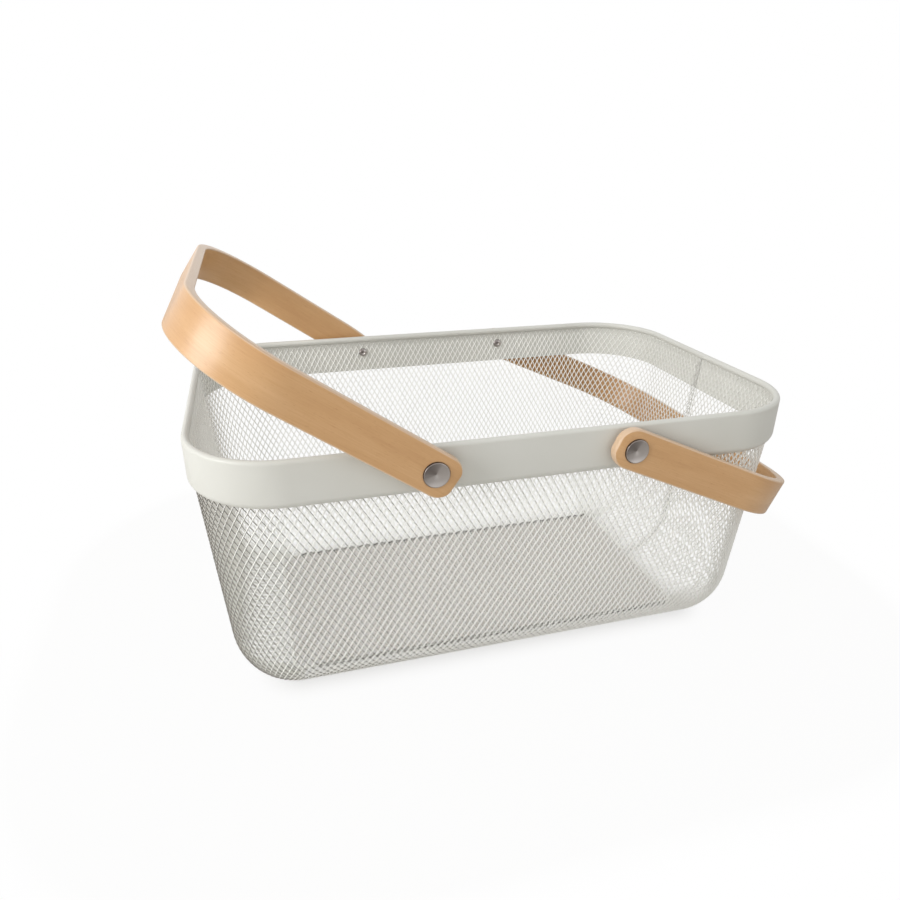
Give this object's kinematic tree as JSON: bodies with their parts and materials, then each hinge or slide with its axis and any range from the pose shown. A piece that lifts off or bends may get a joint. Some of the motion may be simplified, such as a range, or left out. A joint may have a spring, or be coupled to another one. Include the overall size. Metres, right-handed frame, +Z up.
{
  "type": "wire basket with swing handles",
  "caption": "Open-topped rounded rectangular basket of expanded-metal mesh with a painted rim band and swinging bentwood handles.",
  "frame": {"origin": "middle of the basket's underside, on the plane that it rests on", "axes": "+X along the basket towards the hanging handle, +Y across it to the back, +Z up"},
  "size_m": [0.3913, 0.254, 0.2583],
  "materials": {
    "rim_paint": "satin off-white powder coat",
    "mesh_paint": "satin off-white powder coat",
    "beech": "clear satin lacquer on beech veneer",
    "rivet_steel": "brushed",
    "washer_nylon": "matt"
  },
  "bodies": {
    "basket": {"rim_band": "rim_paint", "wall_mesh_front": "mesh_paint", "wall_mesh_back": "mesh_paint", "wall_mesh_left": "mesh_paint", "wall_mesh_right": "mesh_paint", "wall_mesh_corner_front_left": "mesh_paint", "wall_mesh_corner_front_right": "mesh_paint", "wall_mesh_corner_back_left": "mesh_paint", "wall_mesh_corner_back_right": "mesh_paint", "foot_mesh_front": "mesh_paint", "foot_mesh_back": "mesh_paint", "foot_mesh_left": "mesh_paint", "foot_mesh_right": "mesh_paint", "floor_mesh": "mesh_paint", "seam_strip": "mesh_paint", "rivet_cap_front_left": "rivet_steel", "rivet_cap_front_right": "rivet_steel", "rivet_cap_back_left": "rivet_steel", "rivet_cap_back_right": "rivet_steel", "rivet_front_left": "rivet_steel", "rivet_front_right": "rivet_steel", "rivet_back_left": "rivet_steel", "rivet_back_right": "rivet_steel", "washer_front_left": "washer_nylon", "washer_front_right": "washer_nylon", "washer_back_left": "washer_nylon", "washer_back_right": "washer_nylon"},
    "handle_left": {"left_handle": "beech"},
    "handle_right": {"right_handle": "beech"}
  },
  "joints": [
    {"name": "left_handle_swing", "type": "hinge", "parent": "basket", "child": "handle_left", "pos_m": [-0.0595, 0, 0.162], "axis": [0, 1, 0], "range_deg": [-62.4, 73.2]},
    {"name": "right_handle_swing", "type": "hinge", "parent": "basket", "child": "handle_right", "pos_m": [0.0595, 0, 0.162], "axis": [0, -1, 0], "range_deg": [-3.1, 132.5]}
  ]
}
